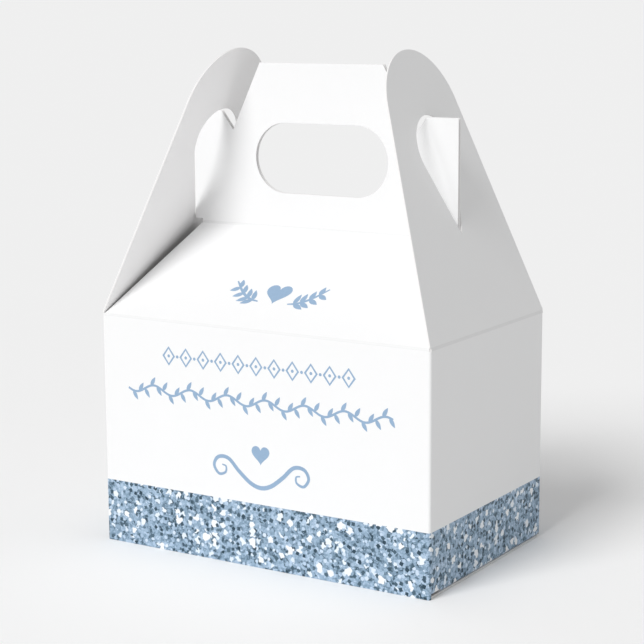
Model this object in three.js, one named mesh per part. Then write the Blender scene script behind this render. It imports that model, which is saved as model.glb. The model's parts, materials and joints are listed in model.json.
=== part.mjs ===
// A folded paperboard gable box for party favours, 4 x 2.5 x 2.5 inches, shut.
//
// The real box is one die-cut blank. Creases divide the blank into flat panels, and each
// panel is a mesh of its own here, so that it can turn on its crease. The panels hang on a
// tree of crease frames, folded as the blank is. In each frame x runs along the crease,
// y points away from it over the panel, and z points out of the box, with the printed
// face of the panel at z = 0.
//
// Millimetres. The box stands on z = 0, centred on x and y, and its front faces -y.

import * as THREE from "three";

const INCH = 25.4;

// Body
const LENGTH = 4 * INCH; // outside, along x
const WIDTH = 2.5 * INCH; // outside, along y
const WALL_HEIGHT = 2.5 * INCH; // floor to eaves
const BOARD = 0.45; // thickness of 18 point board
const CREASE = 0.45; // board left out on each side of a shallow crease
const SQUARE_CREASE = 0.75; // the same beside a right-angled crease
const TUCK_CREASE = 0.9; // the same at the tuck flap's crease, which bends further
const CLEARANCE = 0.3; // between panels that lie against each other

// Roof, from the eaves up to the fold under the handle
const FOLD_HEIGHT = 86;
const FOLD_LENGTH = 78.2;
const ROOF_CORNER_INSET = 0.8; // keeps the roof's lower corners off the end flaps

// Handle: heights are above the fold, half lengths are from the middle of the box
const HANDLE_HEIGHT = 44.4;
const HANDLE_TOP_HALF = 19.3;
const NOTCH_HALF = 28.3; // foot of the notch between handle and ear
const NOTCH_HEIGHT = 26;
const EAR_TIP_HALF = 32.2; // barb that hooks the end flap
const EAR_OUTER_HALF = 41.5;
const EAR_HEIGHT = 31.2;
const EAR_FOOT = 0.9;
const HAND_HOLE_LENGTH = 41.6;
const HAND_HOLE_HEIGHT = 19;
const HAND_HOLE_CENTRE = 18.85;

// End flaps: distances are along the flap, from the eaves
const FLAP_LEAN = degrees(19.2); // inwards from upright
const FLAP_LENGTH = 75;
const FLAP_TIP_RADIUS = 18.3;
const SLOT_POINT = 25.4; // lower end of the teardrop slot
const SLOT_TOP = 57.5;
const SLOT_RADIUS = 9.3;

// Tuck bottom
const BOTTOM_SIDE_INSET = 0.5;
const TUCK_DEPTH = 14;
const TUCK_BEND = degrees(105); // up from the bottom panel, leaning inwards
const TUCK_SIDE_INSET = 1.5;
const TUCK_CORNER_RADIUS = 6;
const DUST_REACH = 28; // inwards from the end panel
const DUST_REAR_INSET = 1.25;
const DUST_FRONT_INSET = 5.75;
const DUST_CORNER = 4.5;

// Glue tab, folded from the rear panel and glued inside the left end panel
const TAB_WIDTH = 0.5 * INCH;
const TAB_END_INSET = 2.5;
const TAB_TAPER = 4;
const SEAM_INSET = 0.3; // the left end panel's cut edge stops this far from the corner

const ARC_STEPS = 48;
const BOARD_WHITE = 0xfafafa;

const HALF_LENGTH = LENGTH / 2;
const HALF_WIDTH = WIDTH / 2;
const INNER_FACE = BOARD + CLEARANCE; // from a wall's printed face to a panel inside it
const INSIDE_HALF_LENGTH = HALF_LENGTH - INNER_FACE;
const INSIDE_HALF_WIDTH = HALF_WIDTH - INNER_FACE;
const DUST_LEVEL = INNER_FACE; // the dust flaps lie on the bottom panel
const ROOF_RISE = FOLD_HEIGHT - WALL_HEIGHT;
const ROOF_RUN = HALF_WIDTH - BOARD - CLEARANCE / 2; // the two handles stand back to back
const ROOF_SLANT = Math.hypot(ROOF_RISE, ROOF_RUN);
const ROOF_BEND = Math.atan2(ROOF_RUN, ROOF_RISE); // inwards from upright

const UP = 0; // ways for a new frame to leave the frame it is creased to
const DOWN = Math.PI;
const RIGHT = -Math.PI / 2;
const SQUARE = Math.PI / 2; // a right-angled bend

function degrees(angle) {
  return (angle * Math.PI) / 180;
}

// Frame of a standing wall: spin turns the front wall's place to that of another wall.
function wallFrame(box, spin, distance) {
  const side = new THREE.Group();
  side.rotation.z = spin;
  const frame = new THREE.Group();
  frame.position.y = -distance;
  frame.rotation.x = Math.PI / 2;
  side.add(frame);
  box.add(side);
  return frame;
}

// Frame of a panel creased to another: it leaves in the given direction, bent inwards.
function creaseFrame(parent, position, direction, bend) {
  const frame = new THREE.Group();
  frame.position.set(...position);
  frame.rotation.set(-bend, 0, direction, "ZYX");
  parent.add(frame);
  return frame;
}

function addPanel(frame, name, shape) {
  const settings = { depth: BOARD, bevelEnabled: false, curveSegments: ARC_STEPS };
  const geometry = new THREE.ExtrudeGeometry(shape, settings);
  const material = new THREE.MeshStandardMaterial({
    color: BOARD_WHITE,
    roughness: 0.55,
    metalness: 0,
  });
  const mesh = new THREE.Mesh(geometry, material);
  mesh.name = name;
  mesh.position.z = -BOARD;
  frame.add(mesh);
}

function polygon(points) {
  return new THREE.Shape(points.map(([x, y]) => new THREE.Vector2(x, y)));
}

function rectangle(left, right, low, high) {
  return polygon([[left, low], [right, low], [right, high], [left, high]]);
}

function trapezium(lowHalf, low, highHalf, high) {
  return polygon([[-lowHalf, low], [lowHalf, low], [highHalf, high], [-highHalf, high]]);
}

// Right half of a closed outline, joined to its mirror image in x = 0.
function mirrored(rightHalf) {
  const leftHalf = rightHalf.map(([x, y]) => [-x, y]).reverse();
  return polygon([...rightHalf, ...leftHalf]);
}

// Direction, from a circle's centre at height centre, of the point where a straight edge
// from (x, y) touches the circle on its right-hand side.
function tangentAngle(x, y, centre, radius) {
  const towardsPoint = Math.atan2(y - centre, x);
  return towardsPoint + Math.acos(radius / Math.hypot(x, y - centre));
}

function handHole() {
  const radius = HAND_HOLE_HEIGHT / 2;
  const arcCentre = HAND_HOLE_LENGTH / 2 - radius;
  const hole = new THREE.Path();
  hole.absarc(arcCentre, HAND_HOLE_CENTRE, radius, -SQUARE, SQUARE, false);
  hole.absarc(-arcCentre, HAND_HOLE_CENTRE, radius, SQUARE, 3 * SQUARE, false);
  return hole;
}

function handleOutline() {
  const shape = mirrored([
    [FOLD_LENGTH / 2, CREASE],
    [FOLD_LENGTH / 2, EAR_FOOT],
    [EAR_OUTER_HALF, EAR_FOOT],
    [EAR_OUTER_HALF, EAR_HEIGHT],
    [EAR_TIP_HALF, EAR_HEIGHT],
    [NOTCH_HALF, NOTCH_HEIGHT],
    [HANDLE_TOP_HALF, HANDLE_HEIGHT],
  ]);
  shape.holes.push(handHole());
  return shape;
}

// Teardrop: a round top, and straight sides that meet in a point below.
function earSlot() {
  const centre = SLOT_TOP - SLOT_RADIUS;
  const start = tangentAngle(0, SLOT_POINT, centre, SLOT_RADIUS);
  const slot = new THREE.Path();
  slot.absarc(0, centre, SLOT_RADIUS, start, Math.PI - start, false);
  slot.lineTo(0, SLOT_POINT);
  return slot;
}

// Straight sides taper from the full width of the end to a round tip.
function endFlapOutline() {
  const centre = FLAP_LENGTH - FLAP_TIP_RADIUS;
  const start = tangentAngle(HALF_WIDTH, CREASE, centre, FLAP_TIP_RADIUS);
  const shape = new THREE.Shape();
  shape.moveTo(-HALF_WIDTH, CREASE);
  shape.lineTo(HALF_WIDTH, CREASE);
  shape.absarc(0, centre, FLAP_TIP_RADIUS, start, Math.PI - start, false);
  shape.holes.push(earSlot());
  return shape;
}

function tuckOutline() {
  const half = INSIDE_HALF_LENGTH - TUCK_SIDE_INSET;
  const arcHalf = half - TUCK_CORNER_RADIUS;
  const arcHeight = TUCK_DEPTH - TUCK_CORNER_RADIUS;
  const shape = new THREE.Shape();
  shape.moveTo(-half, TUCK_CREASE);
  shape.lineTo(half, TUCK_CREASE);
  shape.absarc(arcHalf, arcHeight, TUCK_CORNER_RADIUS, 0, SQUARE, false);
  shape.absarc(-arcHalf, arcHeight, TUCK_CORNER_RADIUS, SQUARE, 2 * SQUARE, false);
  return shape;
}

// The rear side is cut back at 45 degrees, so that the dust flap stays above the bottom
// panel as both swing down. front is +1 or -1, the side of the frame that faces the front.
function dustFlapOutline(front) {
  const rearEdge = HALF_WIDTH - DUST_REAR_INSET;
  const frontEdge = HALF_WIDTH - DUST_FRONT_INSET;
  const points = [
    [-rearEdge, SQUARE_CREASE],
    [frontEdge, SQUARE_CREASE],
    [frontEdge, DUST_REACH - DUST_CORNER],
    [frontEdge - DUST_CORNER, DUST_REACH],
    [DUST_REACH - rearEdge, DUST_REACH],
  ];
  return polygon(points.map(([x, y]) => [front * x, y]));
}

// The roof panel and the handle panel that fold from a long wall.
function addRoofAndHandle(frame, side) {
  const roof = creaseFrame(frame, [0, WALL_HEIGHT, 0], UP, ROOF_BEND);
  const eaveHalf = HALF_LENGTH - ROOF_CORNER_INSET;
  const roofShape = trapezium(eaveHalf, CREASE, FOLD_LENGTH / 2, ROOF_SLANT - CREASE);
  addPanel(roof, `${side}_roof`, roofShape);

  const handle = creaseFrame(roof, [0, ROOF_SLANT, 0], UP, -ROOF_BEND);
  addPanel(handle, `${side}_handle`, handleOutline());
}

// The flap above an end wall and the dust flap below it.
function addEndFlaps(frame, side, front) {
  const flap = creaseFrame(frame, [0, WALL_HEIGHT, 0], UP, FLAP_LEAN);
  addPanel(flap, `${side}_end_flap`, endFlapOutline());

  const dustFlap = creaseFrame(frame, [0, DUST_LEVEL, 0], DOWN, SQUARE);
  addPanel(dustFlap, `${side}_dust_flap`, dustFlapOutline(front));
}

// The bottom panel hangs on the rear wall, and its tuck flap goes up inside the front wall.
function addBottom(rear) {
  const bottom = creaseFrame(rear, [0, 0, 0], DOWN, SQUARE);
  const depth = HALF_WIDTH + INSIDE_HALF_WIDTH;
  const half = HALF_LENGTH - BOTTOM_SIDE_INSET;
  addPanel(bottom, "bottom_panel", rectangle(-half, half, SQUARE_CREASE, depth - TUCK_CREASE));

  const tuck = creaseFrame(bottom, [0, depth, 0], UP, TUCK_BEND);
  addPanel(tuck, "bottom_tuck_flap", tuckOutline());
}

function addGlueTab(rear) {
  const middle = WALL_HEIGHT / 2;
  const tab = creaseFrame(rear, [INSIDE_HALF_LENGTH, middle, 0], RIGHT, SQUARE);
  const rootHalf = middle - TAB_END_INSET;
  const shape = trapezium(rootHalf, SQUARE_CREASE, rootHalf - TAB_TAPER, TAB_WIDTH);
  addPanel(tab, "glue_tab", shape);
}

const box = new THREE.Group();
const front = wallFrame(box, 0, HALF_WIDTH);
const right = wallFrame(box, SQUARE, HALF_LENGTH);
const rear = wallFrame(box, 2 * SQUARE, HALF_WIDTH);
const left = wallFrame(box, 3 * SQUARE, HALF_LENGTH);

// The four walls: a cut edge ends at the corner, and a creased one stops short of it.
const wallTop = WALL_HEIGHT - CREASE;
const wallHalf = HALF_LENGTH - SQUARE_CREASE;
const endHalf = HALF_WIDTH - SQUARE_CREASE;
const endFoot = DUST_LEVEL + SQUARE_CREASE;
const tabCorner = INSIDE_HALF_LENGTH - SQUARE_CREASE;
const seamEdge = HALF_WIDTH - SEAM_INSET;
addPanel(front, "front_panel", rectangle(-wallHalf, wallHalf, 0, wallTop));
addPanel(right, "right_end_panel", rectangle(-endHalf, endHalf, endFoot, wallTop));
addPanel(rear, "rear_panel", rectangle(-wallHalf, tabCorner, SQUARE_CREASE, wallTop));
addPanel(left, "left_end_panel", rectangle(-seamEdge, endHalf, endFoot, wallTop));

addRoofAndHandle(front, "front");
addRoofAndHandle(rear, "rear");
addEndFlaps(right, "right", 1);
addEndFlaps(left, "left", -1);
addBottom(rear);
addGlueTab(rear);

export default box;
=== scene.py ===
# Looks of a folded paperboard gable box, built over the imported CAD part.
#
# Metres, in the part's own frame: the box stands on z = 0 and its front faces -y. Every
# flat panel is a board with a printed outer face, a plain inner face and a cut edge.
# Where two panels meet on a crease, a strip of board bends round from one to the other.
# The artwork is a glitter band round the foot of the walls and a few line ornaments.

import json
import math

import bmesh
import bpy
import numpy as np
from mathutils import Matrix, Vector


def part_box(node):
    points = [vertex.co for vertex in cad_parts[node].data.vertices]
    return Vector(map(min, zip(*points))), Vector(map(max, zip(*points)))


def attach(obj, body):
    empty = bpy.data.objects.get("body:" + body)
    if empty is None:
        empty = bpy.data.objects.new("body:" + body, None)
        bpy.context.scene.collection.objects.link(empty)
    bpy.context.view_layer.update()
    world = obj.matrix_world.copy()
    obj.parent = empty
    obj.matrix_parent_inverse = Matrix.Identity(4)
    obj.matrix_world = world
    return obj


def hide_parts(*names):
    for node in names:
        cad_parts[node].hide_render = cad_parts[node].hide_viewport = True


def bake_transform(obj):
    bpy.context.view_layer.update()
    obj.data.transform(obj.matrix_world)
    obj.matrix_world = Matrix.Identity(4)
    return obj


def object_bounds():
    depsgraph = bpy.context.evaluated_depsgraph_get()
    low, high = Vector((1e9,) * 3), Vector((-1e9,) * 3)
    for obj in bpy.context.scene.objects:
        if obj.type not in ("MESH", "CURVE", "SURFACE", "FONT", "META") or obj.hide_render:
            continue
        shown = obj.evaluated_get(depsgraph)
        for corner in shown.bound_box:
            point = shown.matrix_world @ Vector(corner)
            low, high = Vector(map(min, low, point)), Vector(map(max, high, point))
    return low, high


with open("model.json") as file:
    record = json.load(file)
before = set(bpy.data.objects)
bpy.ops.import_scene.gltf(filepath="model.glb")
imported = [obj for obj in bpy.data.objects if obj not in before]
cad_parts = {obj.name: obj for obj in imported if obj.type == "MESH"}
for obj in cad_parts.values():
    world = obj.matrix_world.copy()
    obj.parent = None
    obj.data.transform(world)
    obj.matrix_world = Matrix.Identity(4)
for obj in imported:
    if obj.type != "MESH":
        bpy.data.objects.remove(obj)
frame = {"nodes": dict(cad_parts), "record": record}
cad_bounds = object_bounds()

MM = 0.001

FRONT = Vector((0, -1, 0))
REAR = Vector((0, 1, 0))
LEFT = Vector((-1, 0, 0))
RIGHT = Vector((1, 0, 0))
DOWN = Vector((0, 0, -1))
UP = Vector((0, 0, 1))

# The side that each panel's printed face looks to
PRINTED_SIDE = {
    "front_panel": FRONT,
    "rear_panel": REAR,
    "left_end_panel": LEFT,
    "right_end_panel": RIGHT,
    "glue_tab": LEFT,
    "front_roof": FRONT,
    "front_handle": FRONT,
    "rear_roof": REAR,
    "rear_handle": REAR,
    "left_end_flap": LEFT,
    "right_end_flap": RIGHT,
    "bottom_panel": DOWN,
    "bottom_tuck_flap": FRONT,
    "left_dust_flap": DOWN,
    "right_dust_flap": DOWN,
}
WALLS = ("front_panel", "rear_panel", "left_end_panel", "right_end_panel")

# Folds: name, the two panels that meet there, and how far the fold runs past their
# shared length
FOLDS = (
    ("front_eave_fold", "front_panel", "front_roof", 0.35 * MM),
    ("front_handle_fold", "front_roof", "front_handle", 0),
    ("rear_eave_fold", "rear_panel", "rear_roof", 0.35 * MM),
    ("rear_handle_fold", "rear_roof", "rear_handle", 0),
    ("left_flap_fold", "left_end_panel", "left_end_flap", 0.3 * MM),
    ("right_flap_fold", "right_end_panel", "right_end_flap", 0.4 * MM),
    ("bottom_fold", "rear_panel", "bottom_panel", 0),
    ("tuck_fold", "bottom_panel", "bottom_tuck_flap", 0),
    ("left_dust_fold", "left_end_panel", "left_dust_flap", 0),
    ("right_dust_fold", "right_end_panel", "right_dust_flap", 0),
)
# Standing corners run the whole height of the taller of their two walls
CORNERS = (
    ("front_right_corner", "front_panel", "right_end_panel"),
    ("front_left_corner", "front_panel", "left_end_panel"),
    ("rear_right_corner", "rear_panel", "right_end_panel"),
    ("glue_tab_fold", "rear_panel", "glue_tab"),
)
# Folds whose printed face carries the foot of the glitter band
BANDED_FOLDS = ("bottom_fold", "left_dust_fold", "right_dust_fold")
ARC_STEPS = 20

# Tolerances for finding faces and edges of the CAD panels
SAME_PLANE = 0.01 * MM
WELD = 0.001 * MM
FLAT_ANGLE = math.radians(0.5)
PARALLEL = 0.999  # least cosine between directions that count as the same
FACING = 0.9  # least cosine to the printed normal of a face that isn't cut edge
CREASE_MARGIN = 0.05 * MM

# Cut edges
EDGE_ROUNDING = 0.07 * MM
EDGE_STEPS = 2
SHARP_ANGLE = math.radians(50)

# Artwork
BAND_HEIGHT = 17.3 * MM
INK_LIFT = 0.02 * MM
STROKE_LIFT = 0.027 * MM  # strokes lie over the plates that they cross
INK_SINK = 0.01 * MM
STROKE_SINK = 1.5 * INK_SINK


# ---------------------------------------------------------------------------
# Materials


class Tree:
    """A material's node tree. Its methods add a node and return an output socket."""

    def __init__(self, name):
        self.material = bpy.data.materials.new(name)
        self.material.use_nodes = True
        self.tree = self.material.node_tree
        self.shader = self.tree.nodes["Principled BSDF"]

    def node(self, kind, inputs, output=0, **settings):
        made = self.tree.nodes.new(kind)
        for name, value in settings.items():
            setattr(made, name, value)
        for key, value in inputs.items():
            self.put(made.inputs[key], value)
        return made.outputs[output]

    def put(self, socket, value):
        if isinstance(value, bpy.types.NodeSocket):
            self.tree.links.new(value, socket)
        else:
            socket.default_value = value

    def math(self, operation, first, second=0.0, third=0.0):
        inputs = {0: first, 1: second, 2: third}
        return self.node("ShaderNodeMath", inputs, operation=operation)

    def vector(self, operation, first, second):
        inputs = {0: first, 1: second}
        return self.node("ShaderNodeVectorMath", inputs, operation=operation)

    def scaled(self, vector, scale):
        inputs = {0: vector, "Scale": scale}
        return self.node("ShaderNodeVectorMath", inputs, operation="SCALE")

    def mix(self, factor, first, second):
        inputs = {0: factor, 2: first, 3: second}
        return self.node("ShaderNodeMix", inputs, data_type="FLOAT")

    def mix_colour(self, factor, first, second):
        inputs = {0: factor, 6: first, 7: second}
        return self.node("ShaderNodeMix", inputs, output=2, data_type="RGBA")

    def between(self, value, low, high):
        """value, taken from 0..1 to low..high."""
        inputs = {"Value": value, "To Min": low, "To Max": high}
        return self.node("ShaderNodeMapRange", inputs)

    def split(self, vector):
        made = self.tree.nodes.new("ShaderNodeSeparateXYZ")
        self.put(made.inputs[0], vector)
        return made.outputs[0], made.outputs[1], made.outputs[2]

    def join(self, x, y, z=0.0):
        return self.node("ShaderNodeCombineXYZ", {0: x, 1: y, 2: z})

    def noise(self, vector, scale, detail=2.0, roughness=0.5, output="Fac"):
        inputs = {
            "Vector": vector,
            "Scale": scale,
            "Detail": detail,
            "Roughness": roughness,
        }
        return self.node("ShaderNodeTexNoise", inputs, output)

    def ramp(self, factor, stops):
        made = self.tree.nodes.new("ShaderNodeValToRGB")
        self.put(made.inputs[0], factor)
        elements = made.color_ramp.elements
        while len(elements) < len(stops):
            elements.new(0.5)
        for element, (position, colour) in zip(elements, stops):
            element.position = position
            element.color = (*colour, 1)
        return made.outputs[0]

    def bump(self, height, strength, distance):
        inputs = {"Height": height, "Strength": strength, "Distance": distance}
        return self.node("ShaderNodeBump", inputs)

    def place(self):
        """The point on the surface, in the object's own coordinates, in metres."""
        return self.node("ShaderNodeTexCoord", {}, output="Object")


# Albedo of the glitter print, from its darkest flakes to its lightest
GLITTER_TONES = (
    (0.00, (0.028, 0.058, 0.085)),
    (0.08, (0.070, 0.122, 0.165)),
    (0.25, (0.205, 0.305, 0.410)),
    (0.50, (0.345, 0.470, 0.610)),
    (0.75, (0.515, 0.640, 0.790)),
    (0.93, (0.760, 0.825, 0.885)),
    (1.00, (0.880, 0.890, 0.900)),
)
# Shards of the glitter print: coarse cells mixed with fine ones. Lengths in millimetres
COARSE_SHARD = 0.95  # spacing
FINE_SHARD = 0.5  # spacing
FINE_SHARE = 0.4  # how much of the tone is the fine cells'
SHARD_TONES = (0.20, 0.98)  # lowest and highest
SHARD_RADIUS = 0.27  # beyond this from a fine cell's centre is a gap
GAP_DARKENING = 0.26  # taken off the tone in a gap
SHARD_WARP = 0.6  # how far the shards are pushed out of shape
TORN_WARP = 1.6  # the same for the torn flakes
# Layers of flakes over the shards, lowest first: spacing and radius in millimetres, share of
# the cells that hold a flake, shift of the pattern, lowest and highest tone, and the outline
FLAKE_LAYERS = (
    (1.35, 0.56, 0.42, 23, (0.30, 0.90), "six-sided"),
    (1.7, 0.56, 0.36, 41, (-0.02, 0.10), "square"),
    (2.2, 0.66, 0.16, 57, (0.88, 0.95), "torn"),
    (3.0, 1.0, 0.26, 71, (0.95, 1.0), "torn"),
)
SMALLEST_FLAKE = 0.72  # of the layer's radius

# Albedo of each finish
PRINTED_WHITE = (0.848, 0.849, 0.851)
# The scored crease is darker than the printed face: partly the scored coat, partly painted
# shade along the fold
SCORED_AND_SHADED_WHITE = (0.790, 0.790, 0.792)
INNER_WHITE = (0.925, 0.918, 0.918)
EDGE_WHITE = (0.820, 0.812, 0.805)
INK_BLUE = (0.285, 0.410, 0.570)
# Specular level of the coated and printed faces, and of the cut edge
COATED_SPECULAR = 0.25
CUT_SPECULAR = 0.1
# Scales of the board's noises, in cycles per metre
MOTTLE_SCALE = 90
FIBRE_SCALE = 2600
PLY_SCALE = 5200
EDGE_PATCH_SCALE = 350
INK_GRAIN_SCALE = 1500
INK_PATCH_SCALE = 160
ROUGHNESS_SPREAD = 0.08  # to either side of a board's own roughness


def wrapped_place(tree):
    """Distance round the four walls and height, in millimetres, as x and y."""
    low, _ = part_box("front_panel")
    _, end_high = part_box("right_end_panel")
    half_length = end_high.x
    half_width = -low.y
    x, y, z = tree.split(tree.place())
    depth = tree.math("ADD", y, half_width)
    on_left = tree.math("LESS_THAN", x, low.x)
    on_rear = tree.math("GREATER_THAN", y, end_high.y)
    x_way = tree.between(on_rear, 1.0, -1.0)
    y_way = tree.between(on_left, 1.0, -1.0)
    around = tree.math("MULTIPLY", x, x_way)
    around = tree.math("MULTIPLY_ADD", depth, y_way, around)
    around = tree.math("MULTIPLY_ADD", on_rear, 2 * half_length, around)
    return tree.scaled(tree.join(around, z), 1 / MM)


def cells(tree, place, spacing, shift):
    """Random cells about spacing apart: their colour, and the offset from the centre."""
    moved = tree.vector("ADD", place, (shift, 0.7 * shift, 0))
    scaled = tree.scaled(moved, 1 / spacing)
    made = tree.tree.nodes.new("ShaderNodeTexVoronoi")
    made.voronoi_dimensions = "2D"
    made.feature = "F1"
    made.inputs["Scale"].default_value = 1
    tree.put(made.inputs["Vector"], scaled)
    offset = tree.vector("SUBTRACT", scaled, made.outputs["Position"])
    return made.outputs["Color"], tree.scaled(offset, spacing)


def flakes(tree, place, spacing, radius, share, shift, square=False):
    """Flakes, six-sided or square: 1 on a flake and 0 off it, and its random number."""
    colour, offset = cells(tree, place, spacing, shift)
    pick, size, turn = tree.split(colour)
    angle = tree.math("MULTIPLY", turn, math.pi)
    inputs = {"Vector": offset, "Angle": angle}
    turned = tree.node("ShaderNodeVectorRotate", inputs, rotation_type="Z_AXIS")
    across, along, _ = tree.split(turned)
    across = tree.math("ABSOLUTE", across)
    along = tree.math("ABSOLUTE", along)
    if square:
        reach = tree.math("MAXIMUM", across, along)
    else:
        slanted = tree.math("MULTIPLY", across, math.sin(math.pi / 3))
        slanted = tree.math("MULTIPLY_ADD", along, 0.5, slanted)
        reach = tree.math("MAXIMUM", slanted, along)
    limit = tree.between(size, SMALLEST_FLAKE * radius, radius)
    inside = tree.math("LESS_THAN", reach, limit)
    chosen = tree.math("LESS_THAN", pick, share)
    return tree.math("MULTIPLY", inside, chosen), turn


def warped(tree, place, scale, detail, reach):
    """The place, pushed about by a noise of up to the given reach."""
    push = tree.noise(place, scale, detail=detail, output="Color")
    return tree.vector("ADD", place, tree.scaled(push, reach))


def shard_tone(tree, place):
    """Tone of the shards, darker in the gaps between the fine ones."""
    place = warped(tree, place, 1.1, 1.0, SHARD_WARP)
    coarse, _ = cells(tree, place, COARSE_SHARD, 3)
    fine, off_centre = cells(tree, place, FINE_SHARD, 11)
    coarse_tone, _, _ = tree.split(coarse)
    fine_tone, _, _ = tree.split(fine)
    tone = tree.mix(FINE_SHARE, coarse_tone, fine_tone)
    tone = tree.between(tone, *SHARD_TONES)
    away = tree.node("ShaderNodeVectorMath", {0: off_centre}, 1, operation="LENGTH")
    in_gap = tree.math("GREATER_THAN", away, SHARD_RADIUS)
    return tree.math("MULTIPLY_ADD", in_gap, -GAP_DARKENING, tone)


def glitter_tone(tree, place):
    """Tone of the glitter print, from 0 to 1: fine shards with flakes strewn on them."""
    tone = shard_tone(tree, place)
    torn_place = warped(tree, place, 0.9, 0.0, TORN_WARP)
    for spacing, radius, share, shift, tones, outline in FLAKE_LAYERS:
        where = torn_place if outline == "torn" else place
        square = outline == "square"
        on_flake, own = flakes(tree, where, spacing, radius, share, shift, square)
        tone = tree.mix(on_flake, tone, tree.between(own, *tones))
    return tone


def board_material(name, white, roughness, fibre, banded=False):
    """Coated paperboard: faint fibres and mottle, and perhaps the glitter band."""
    tree = Tree(name)
    place = tree.place()
    mottle = tree.noise(place, MOTTLE_SCALE, detail=3.0)
    fibres = tree.noise(place, FIBRE_SCALE, detail=4.0, roughness=0.65)
    grain = tree.mix(0.35, mottle, fibres)
    shade = tree.between(grain, 1 - fibre, 1 + fibre)
    colour = tree.scaled(white, shade)
    if banded:
        wrapped = wrapped_place(tree)
        _, height, _ = tree.split(wrapped)
        printed = tree.math("LESS_THAN", height, BAND_HEIGHT / MM)
        tone = glitter_tone(tree, wrapped)
        glitter = tree.ramp(tone, GLITTER_TONES)
        colour = tree.mix_colour(printed, colour, glitter)
    tree.put(tree.shader.inputs["Base Color"], colour)
    smoothest = roughness - ROUGHNESS_SPREAD
    rough = tree.between(grain, smoothest, roughness + ROUGHNESS_SPREAD)
    tree.put(tree.shader.inputs["Roughness"], rough)
    tree.shader.inputs["Specular IOR Level"].default_value = COATED_SPECULAR
    normal = tree.bump(fibres, 0.12, 0.02 * MM)
    tree.put(tree.shader.inputs["Normal"], normal)
    return tree.material


def edge_material():
    """The cut edge: the plies of the board show as fine uneven layers."""
    tree = Tree("cut_board_edge")
    place = tree.place()
    plies = tree.noise(place, PLY_SCALE, detail=3.0, roughness=0.6)
    patches = tree.noise(place, EDGE_PATCH_SCALE, detail=2.0)
    grain = tree.mix(0.4, plies, patches)
    colour = tree.scaled(EDGE_WHITE, tree.between(grain, 0.9, 1.1))
    tree.put(tree.shader.inputs["Base Color"], colour)
    tree.put(tree.shader.inputs["Roughness"], tree.between(grain, 0.75, 0.95))
    tree.shader.inputs["Specular IOR Level"].default_value = CUT_SPECULAR
    tree.put(tree.shader.inputs["Normal"], tree.bump(plies, 0.3, 0.05 * MM))
    return tree.material


def ink_material():
    """Pale blue ink, a little uneven where the board takes it up."""
    tree = Tree("blue_ink")
    place = tree.place()
    grain = tree.noise(place, INK_GRAIN_SCALE, detail=3.0)
    patches = tree.noise(place, INK_PATCH_SCALE, detail=2.0)
    shade = tree.mix(0.5, grain, patches)
    colour = tree.scaled(INK_BLUE, tree.between(shade, 0.9, 1.1))
    tree.put(tree.shader.inputs["Base Color"], colour)
    tree.put(tree.shader.inputs["Roughness"], tree.between(shade, 0.4, 0.6))
    tree.shader.inputs["Specular IOR Level"].default_value = COATED_SPECULAR
    return tree.material


PRINTED, INNER, EDGE = 0, 1, 2  # material slots of every board


def board_materials():
    """The slots of a plain board, of one with the glitter band, and of a scored crease, whose
    darker white is partly the scored coat and partly painted shade along the fold.
    """
    inner = board_material("inner_board", INNER_WHITE, 0.75, 0.03)
    edge = edge_material()
    plain = board_material("printed_board", PRINTED_WHITE, 0.5, 0.012)
    banded = board_material("banded_board", PRINTED_WHITE, 0.5, 0.012, banded=True)
    # the darker crease white is partly painted shade along the fold
    scored_and_shaded = board_material("scored_and_shaded_board", SCORED_AND_SHADED_WHITE, 0.6, 0.03)
    return (plain, inner, edge), (banded, inner, edge), (scored_and_shaded, inner, edge)


# ---------------------------------------------------------------------------
# Boards


def node_body(node):
    for body, members in frame["record"]["behaviour"]["bodies"].items():
        if node in members:
            return body


def mesh_points(node):
    return [v.co.copy() for v in frame["nodes"][node].data.vertices]


def printed_normal(node):
    """Normal of the panel's printed face: its largest face, turned to the right side."""
    largest = max(frame["nodes"][node].data.polygons, key=lambda face: face.area)
    normal = largest.normal.copy()
    return normal if normal.dot(PRINTED_SIDE[node]) > 0 else -normal


def printed_points(node):
    normal = printed_normal(node)
    points = mesh_points(node)
    level = max(point.dot(normal) for point in points)
    return [point for point in points if level - point.dot(normal) < SAME_PLANE]


def board_thickness():
    normal = printed_normal("front_panel")
    levels = [point.dot(normal) for point in mesh_points("front_panel")]
    return max(levels) - min(levels)


BOARD = board_thickness()


def new_object(name, bm, materials):
    mesh = bpy.data.meshes.new(name)
    bm.to_mesh(mesh)
    bm.free()
    for material in materials:
        mesh.materials.append(material)
    made = bpy.data.objects.new(name, mesh)
    bpy.context.scene.collection.objects.link(made)
    return made


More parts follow.
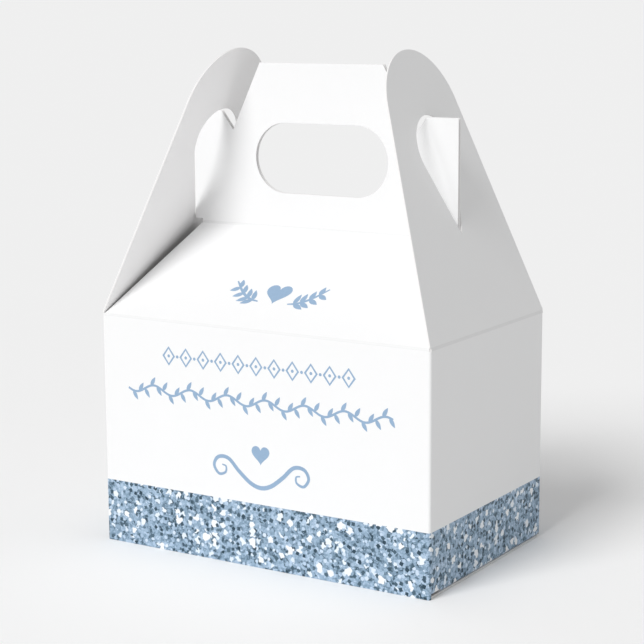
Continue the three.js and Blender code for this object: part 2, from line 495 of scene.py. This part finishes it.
class Fold:
    """Where two panels meet: the corner line of their printed faces, and the bend."""

    def __init__(self, first, second):
        self.first = first
        self.second = second
        normals = [printed_normal(node) for node in (first, second)]
        self.axis = normals[0].cross(normals[1]).normalized()
        levels = [n.dot(printed_points(node)[0]) for n, node in zip(normals, self.nodes)]
        planes = Matrix((normals[0], normals[1], self.axis))
        self.corner = planes.inverted() @ Vector((levels[0], levels[1], 0))
        self.ways = [self.way(node) for node in self.nodes]
        self.gap = min(self.reach(node, way) for node, way in zip(self.nodes, self.ways))
        self.convex = self.ways[1].dot(normals[0]) < 0
        self.bend = math.pi - self.ways[0].angle(self.ways[1])

    @property
    def nodes(self):
        return self.first, self.second

    def way(self, node):
        """The direction in the printed face, square to the corner line."""
        points = printed_points(node)
        middle = sum(points, Vector()) / len(points) - self.corner
        return (middle - self.axis * middle.dot(self.axis)).normalized()

    def reach(self, node, way):
        return min((point - self.corner).dot(way) for point in printed_points(node))

    def span(self, node, way):
        """Where the panel's creased side begins and ends along the corner line."""
        near = self.reach(node, way) + SAME_PLANE
        ends = [
            point.dot(self.axis)
            for point in printed_points(node)
            if (point - self.corner).dot(way) < near
        ]
        return min(ends), max(ends)

    def spans(self):
        return [self.span(node, way) for node, way in zip(self.nodes, self.ways)]

    def shared_span(self, past):
        (low, high), (other_low, other_high) = self.spans()
        return max(low, other_low) - past, min(high, other_high) + past

    def whole_span(self):
        (low, high), (other_low, other_high) = self.spans()
        return min(low, other_low), max(high, other_high)

    def distance(self, point):
        """Distance of a point from the corner line."""
        away = point - self.corner
        return (away - self.axis * away.dot(self.axis)).length

    def creases(self, edge):
        """Whether an edge of a panel lies on the creased side, where the strip begins."""
        near = math.hypot(self.gap, BOARD) + CREASE_MARGIN
        start, end = (vertex.co for vertex in edge.verts)
        along = abs((end - start).normalized().dot(self.axis)) > PARALLEL
        return along and max(self.distance(start), self.distance(end)) < near


def smooth_over(bm, flat_faces):
    """Smooth shading, except on the flat faces and over sharp edges."""
    for face in bm.faces:
        face.smooth = face not in flat_faces
    for edge in bm.edges:
        beside_flat = any(face in flat_faces for face in edge.link_faces)
        sharp = edge.calc_face_angle(0) > SHARP_ANGLE
        edge.smooth = not (beside_flat or sharp)


def board(node, folds, materials):
    """The panel as a board with softened cut edges, in place of its CAD node."""
    bm = bmesh.new()
    bm.from_mesh(frame["nodes"][node].data)
    bmesh.ops.remove_doubles(bm, verts=bm.verts, dist=WELD)
    bmesh.ops.dissolve_limit(bm, angle_limit=FLAT_ANGLE, verts=bm.verts, edges=bm.edges)
    normal = printed_normal(node)

    def lies_flat(face):
        return abs(face.normal.dot(normal)) > PARALLEL

    own = [fold for fold in folds if node in fold.nodes]
    rim = [
        edge
        for edge in bm.edges
        if [lies_flat(face) for face in edge.link_faces].count(True) == 1
        and not any(fold.creases(edge) for fold in own)
    ]
    bmesh.ops.bevel(
        bm,
        geom=rim,
        offset=EDGE_ROUNDING,
        offset_type="OFFSET",
        segments=EDGE_STEPS,
        profile=0.5,
        affect="EDGES",
        clamp_overlap=True,
    )
    for face in bm.faces:
        facing = face.normal.dot(normal)
        face.material_index = EDGE
        if facing > FACING:
            face.material_index = PRINTED
        elif facing < -FACING:
            face.material_index = INNER
    smooth_over(bm, {face for face in bm.faces if lies_flat(face)})
    piece = new_object(node + "_board", bm, materials)
    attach(piece, node_body(node))
    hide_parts(node)
    return piece


def fold_strip(name, fold, span, materials):
    """The bent board between two panels: part of a ring, as long as the span."""
    radius = fold.gap / math.tan(fold.bend / 2)
    inner_radius = radius - BOARD if fold.convex else radius + BOARD
    middle = (fold.ways[0] + fold.ways[1]).normalized()
    centre = fold.corner + middle * math.hypot(fold.gap, radius)
    start = fold.corner + fold.ways[0] * fold.gap
    end = fold.corner + fold.ways[1] * fold.gap
    first = (start - centre).normalized()
    last = (end - centre).normalized()
    bm = bmesh.new()
    rows = []
    for step in range(ARC_STEPS + 1):
        way = first.slerp(last, step / ARC_STEPS)
        row = []
        for size in (radius, inner_radius):
            for station in span:
                row.append(bm.verts.new(centre + way * size + fold.axis * station))
        rows.append(row)
    for one, two in zip(rows, rows[1:]):
        bm.faces.new((one[0], one[1], two[1], two[0])).material_index = PRINTED
        bm.faces.new((one[2], one[3], two[3], two[2])).material_index = INNER
        bm.faces.new((one[0], two[0], two[2], one[2])).material_index = EDGE
        bm.faces.new((one[1], two[1], two[3], one[3])).material_index = EDGE
    for row in (rows[0], rows[-1]):
        bm.faces.new((row[0], row[1], row[3], row[2])).material_index = EDGE
    bmesh.ops.recalc_face_normals(bm, faces=bm.faces)
    smooth_over(bm, {face for face in bm.faces if face.material_index == EDGE})
    piece = new_object(name, bm, materials)
    bodies = [node_body(node) for node in fold.nodes]
    if bodies[0] == bodies[1]:
        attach(piece, bodies[0])
    else:
        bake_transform(piece)
    return piece


def build_boards():
    plain, banded, scored_and_shaded = board_materials()
    folds = []
    for name, first, second, past in FOLDS:
        fold = Fold(first, second)
        folds.append(fold)
        # folds without the band get the darker crease white, which is partly painted shade
        look = banded if name in BANDED_FOLDS else scored_and_shaded
        fold_strip(name, fold, fold.shared_span(past), look)
    for name, first, second in CORNERS:
        fold = Fold(first, second)
        folds.append(fold)
        fold_strip(name, fold, fold.whole_span(), banded)
    for node in frame["nodes"]:
        board(node, folds, banded if node in WALLS else plain)


# ---------------------------------------------------------------------------
# Ornaments: closed plates of ink, drawn in millimetres on a printed face


class Sheet:
    """A place to draw: an origin on a printed face, and its right, up and outward."""

    def __init__(self, origin, right, up):
        self.origin = origin
        self.right = right
        self.up = up
        self.out = right.cross(up)
        self.bm = bmesh.new()

    def point(self, x, y, height):
        return self.origin + (self.right * x + self.up * y) * MM + self.out * height

    def plate(self, outline):
        """A filled shape. The outline runs anticlockwise."""
        top = [self.bm.verts.new(self.point(x, y, INK_LIFT)) for x, y in outline]
        foot = [self.bm.verts.new(self.point(x, y, -INK_SINK)) for x, y in outline]
        self.bm.faces.new(top)
        self.bm.faces.new(reversed(foot))
        for i in range(len(outline)):
            self.bm.faces.new((top[i - 1], foot[i - 1], foot[i], top[i]))

    def stroke(self, line, width, closed=False):
        """A ribbon along a line. width is a function of the share of the line done."""
        points = [Vector(point) for point in line]
        count = len(points)
        rows = []
        for i, point in enumerate(points):
            before = points[i - 1] if closed or i > 0 else point
            after = points[(i + 1) % count] if closed or i < count - 1 else point
            ahead = (after - before).normalized()
            across = Vector((-ahead.y, ahead.x))
            half = width(i / (count - 1)) / 2
            row = []
            for side in (half, -half):
                x, y = point + across * side
                row.append(self.bm.verts.new(self.point(x, y, STROKE_LIFT)))
                row.append(self.bm.verts.new(self.point(x, y, -STROKE_SINK)))
            rows.append(row)
        pairs = list(zip(rows, rows[1:]))
        if closed:
            pairs.append((rows[-1], rows[0]))
        for one, two in pairs:
            for a, b in ((0, 2), (2, 3), (3, 1), (1, 0)):
                self.bm.faces.new((one[a], one[b], two[b], two[a]))
        if not closed:
            for row in (rows[0], rows[-1]):
                self.bm.faces.new((row[0], row[2], row[3], row[1]))

    def finish(self, name, body, material):
        bmesh.ops.recalc_face_normals(self.bm, faces=self.bm.faces)
        piece = new_object(name, self.bm, [material])
        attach(piece, body)
        return piece


def even(width):
    return lambda done: width


def swelling(thin, thick):
    """A pen stroke: thin at its ends and thick in the middle."""
    return lambda done: thin + (thick - thin) * math.sin(math.pi * done)


def circle(x, y, radius, steps=24):
    angles = [2 * math.pi * i / steps for i in range(steps)]
    return [(x + radius * math.cos(a), y + radius * math.sin(a)) for a in angles]


def curve(points, steps=12):
    """A smooth line through the points (Catmull-Rom)."""
    line = [Vector(point) for point in points]
    line = [2 * line[0] - line[1], *line, 2 * line[-1] - line[-2]]
    drawn = []
    for p0, p1, p2, p3 in zip(line, line[1:], line[2:], line[3:]):
        for i in range(steps):
            t = i / steps
            bend = (2 * p0 - 5 * p1 + 4 * p2 - p3) * t**2
            twist = (3 * p1 - p0 - 3 * p2 + p3) * t**3
            drawn.append((2 * p1 + (p2 - p0) * t + bend + twist) / 2)
    drawn.append(line[-2])
    return drawn


def leaf(x, y, angle, length, width):
    """Outline of a pointed leaf that grows from (x, y)."""
    steps = 10
    along = Vector((math.cos(angle), math.sin(angle)))
    across = Vector((-along.y, along.x))
    right_side = []
    left_side = []
    for i in range(steps + 1):
        share = i / steps
        half = width / 2 * math.sin(math.pi * share**0.8) ** 0.9 if 0 < i < steps else 0
        spot = Vector((x, y)) + along * (length * share)
        right_side.append(spot - across * half)
        left_side.append(spot + across * half)
    return right_side + left_side[-2:0:-1]


def heart(x, y, size, steps=40):
    """Outline of a heart about size wide, centred on (x, y)."""
    outline = []
    for i in range(steps):
        t = 2 * math.pi * i / steps
        across = 16 * math.sin(t) ** 3
        height = 13 * math.cos(t) - 5 * math.cos(2 * t) - 2 * math.cos(3 * t)
        height -= math.cos(4 * t)
        outline.append((x - across * size / 32, y + (height + 2.5) * size / 32))
    return outline


# Where the ornaments stand: up the roof from the eave, and up the wall from its foot
SPRIGS_UP_ROOF = 13.2 * MM
DIAMONDS_UP_WALL = 54.0 * MM
LEAVES_UP_WALL = 44.3 * MM
FLOURISH_UP_WALL = 27.0 * MM
# How far right of the middle each ornament is centred, in millimetres
SPRIGS_RIGHT = -0.7
DIAMONDS_RIGHT = -0.5
LEAVES_RIGHT = -0.7
FLOURISH_RIGHT = 0.6


def roof_sprigs(material):
    """A heart between two leafy sprigs, on the front roof."""
    fold = Fold("front_panel", "front_roof")
    sheet = Sheet(fold.corner + fold.ways[1] * SPRIGS_UP_ROOF, RIGHT, fold.ways[1])
    sheet.plate(heart(SPRIGS_RIGHT, 0, 7.6))
    stem = curve([(4.6, -3.0), (7.6, -2.3), (10.8, -0.2), (14.4, 3.6)])
    for side in (1, -1):
        line = [(side * x + SPRIGS_RIGHT, y) for x, y in stem]
        sheet.stroke(line, swelling(0.4, 0.8))
        for share in (0.2, 0.4, 0.6, 0.8):
            x, y = stem[round(share * (len(stem) - 1))]
            for angle in (78, -26):
                turn = math.radians(angle if side > 0 else 180 - angle)
                foot = side * x + SPRIGS_RIGHT
                sheet.plate(leaf(foot, y, turn, 3.9 - share, 1.5))
    return sheet.finish("roof_sprigs", "front_roof", material)


def wall_sheet(height):
    low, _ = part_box("front_panel")
    return Sheet(Vector((0, low.y, low.z + height)), RIGHT, UP)


def diamond_row(material):
    """A row of open diamonds with a dot in each and between each two."""
    sheet = wall_sheet(DIAMONDS_UP_WALL)
    pitch = 5.6
    half_width = 1.75
    half_height = 2.3
    dot = 0.42
    last = 5
    for i in range(-last, last + 1):
        x = pitch * i + DIAMONDS_RIGHT
        tips = [(x + half_width, 0), (x, half_height), (x - half_width, 0), (x, -half_height)]
        sheet.stroke(tips, even(0.62), closed=True)
        sheet.plate(circle(x, 0, dot))
        if i < last:
            sheet.plate(circle(x + pitch / 2, 0, dot))
    return sheet.finish("diamond_row", "walls", material)


def leaf_row(material):
    """A waving stem with leaves at even steps, up and down by turns."""
    sheet = wall_sheet(LEAVES_UP_WALL)
    half = 41.5
    wave = 12.0
    rise = 1.1
    leaf_step = 2.0
    last = 20

    def stem(x):
        return rise * math.sin(2 * math.pi * x / wave)

    line = [(x + LEAVES_RIGHT, stem(x)) for x in np.arange(-half, half, 0.5)]
    sheet.stroke(line, even(0.6))
    for i in range(-last, last + 1):
        x = i * leaf_step
        turn = math.radians(58 if i % 2 else -58)
        sheet.plate(leaf(x + LEAVES_RIGHT, stem(x), turn, 2.9, 1.15))
    return sheet.finish("leaf_row", "walls", material)


def scroll_flourish(material):
    """A line with a scroll at each end, under a small heart."""
    sheet = wall_sheet(FLOURISH_UP_WALL)
    sheet.plate(heart(FLOURISH_RIGHT, 3.4, 5.6))
    scroll = [
        (3.2, -4.3), (6.8, -1.6), (10.2, 1.5), (13.4, 1.5),
        (14.8, -0.8), (13.3, -3.0), (11.2, -2.4), (11.0, -0.8), (12.2, -0.4),
    ]
    tail = [(-x, y) for x, y in reversed(scroll)]
    middle = (0.0, -5.2)
    line = curve([(FLOURISH_RIGHT + x, y) for x, y in [*tail, middle, *scroll]])
    sheet.stroke(line, swelling(0.35, 1.15))
    return sheet.finish("scroll_flourish", "walls", material)


def build_ornaments():
    ink = ink_material()
    roof_sprigs(ink)
    diamond_row(ink)
    leaf_row(ink)
    scroll_flourish(ink)


# ---------------------------------------------------------------------------
# Stage


CAMERA_PLACE = Vector((0.25586, -0.40739, 0.14789))
CAMERA_AZIMUTH = math.radians(32.154)
CAMERA_DOWN = math.radians(10.262)
CAMERA_ROLL = math.radians(-0.352)
CAMERA_LENS = 100.57
CAMERA_SENSOR = 36
CAMERA_CLIP = (0.01, 2000)

SKY_STRENGTH = 0.47
SUN_AZIMUTH = math.radians(-10)  # from the front, towards the left
SUN_HEIGHT = math.radians(42)
SUN_STRENGTH = 0.66 * math.pi
SUN_ANGLE = math.radians(28)
FLOOR_ALBEDO = (0.950, 0.950, 0.950)
FLOOR_DROP = 0.02 * MM
FLOOR_HALVES = (0.3, 1, 4, 20, 100, 500)


def build_camera():
    camera = bpy.data.cameras.new("photo_camera")
    camera.sensor_width = CAMERA_SENSOR
    camera.lens = CAMERA_LENS
    camera.clip_start, camera.clip_end = CAMERA_CLIP
    level = math.cos(CAMERA_DOWN)
    forward = Vector(
        (
            -math.sin(CAMERA_AZIMUTH) * level,
            math.cos(CAMERA_AZIMUTH) * level,
            -math.sin(CAMERA_DOWN),
        )
    )
    right = Vector((math.cos(CAMERA_AZIMUTH), math.sin(CAMERA_AZIMUTH), 0))
    up = right.cross(forward)
    rolled = Matrix.Rotation(-CAMERA_ROLL, 3, forward)
    axes = Matrix((rolled @ right, rolled @ up, -forward)).transposed()
    made = bpy.data.objects.new("photo_camera", camera)
    made.matrix_world = Matrix.Translation(CAMERA_PLACE) @ axes.to_4x4()
    bpy.context.scene.collection.objects.link(made)
    bpy.context.scene.camera = made


def build_light():
    light = bpy.data.lights.new("softbox", "SUN")
    light.energy = SUN_STRENGTH
    light.angle = SUN_ANGLE
    made = bpy.data.objects.new("softbox", light)
    level = math.cos(SUN_HEIGHT)
    way = Vector(
        (
            math.sin(SUN_AZIMUTH) * level,
            -math.cos(SUN_AZIMUTH) * level,
            math.sin(SUN_HEIGHT),
        )
    )
    made.rotation_euler = way.to_track_quat("Z", "Y").to_euler()
    bpy.context.scene.collection.objects.link(made)
    world = bpy.data.worlds.new("studio")
    world.use_nodes = True
    background = world.node_tree.nodes["Background"]
    background.inputs["Color"].default_value = (1, 1, 1, 1)
    background.inputs["Strength"].default_value = SKY_STRENGTH
    bpy.context.scene.world = world


def floor_material():
    tree = Tree("studio_floor")
    mottle = tree.noise(tree.place(), 12, detail=3.0)
    colour = tree.scaled(FLOOR_ALBEDO, tree.between(mottle, 0.997, 1.003))
    tree.put(tree.shader.inputs["Base Color"], colour)
    tree.shader.inputs["Roughness"].default_value = 1
    tree.shader.inputs["Specular IOR Level"].default_value = 0
    return tree.material


def build_floor():
    """A flat floor of nested squares, so that the faces under the box are small."""
    bm = bmesh.new()
    level = cad_bounds[0][2] - FLOOR_DROP
    rings = []
    for half in FLOOR_HALVES:
        corners = ((-half, -half), (half, -half), (half, half), (-half, half))
        rings.append([bm.verts.new((x, y, level)) for x, y in corners])
    bm.faces.new(rings[0])
    for inner, outer in zip(rings, rings[1:]):
        for i in range(4):
            bm.faces.new((inner[i - 1], outer[i - 1], outer[i], inner[i]))
    bmesh.ops.recalc_face_normals(bm, faces=bm.faces)
    new_object("studio_floor", bm, [floor_material()])


def build_stage():
    build_camera()
    build_light()
    build_floor()
    bpy.context.scene.view_settings.view_transform = "Standard"


build_boards()
build_ornaments()
build_stage()
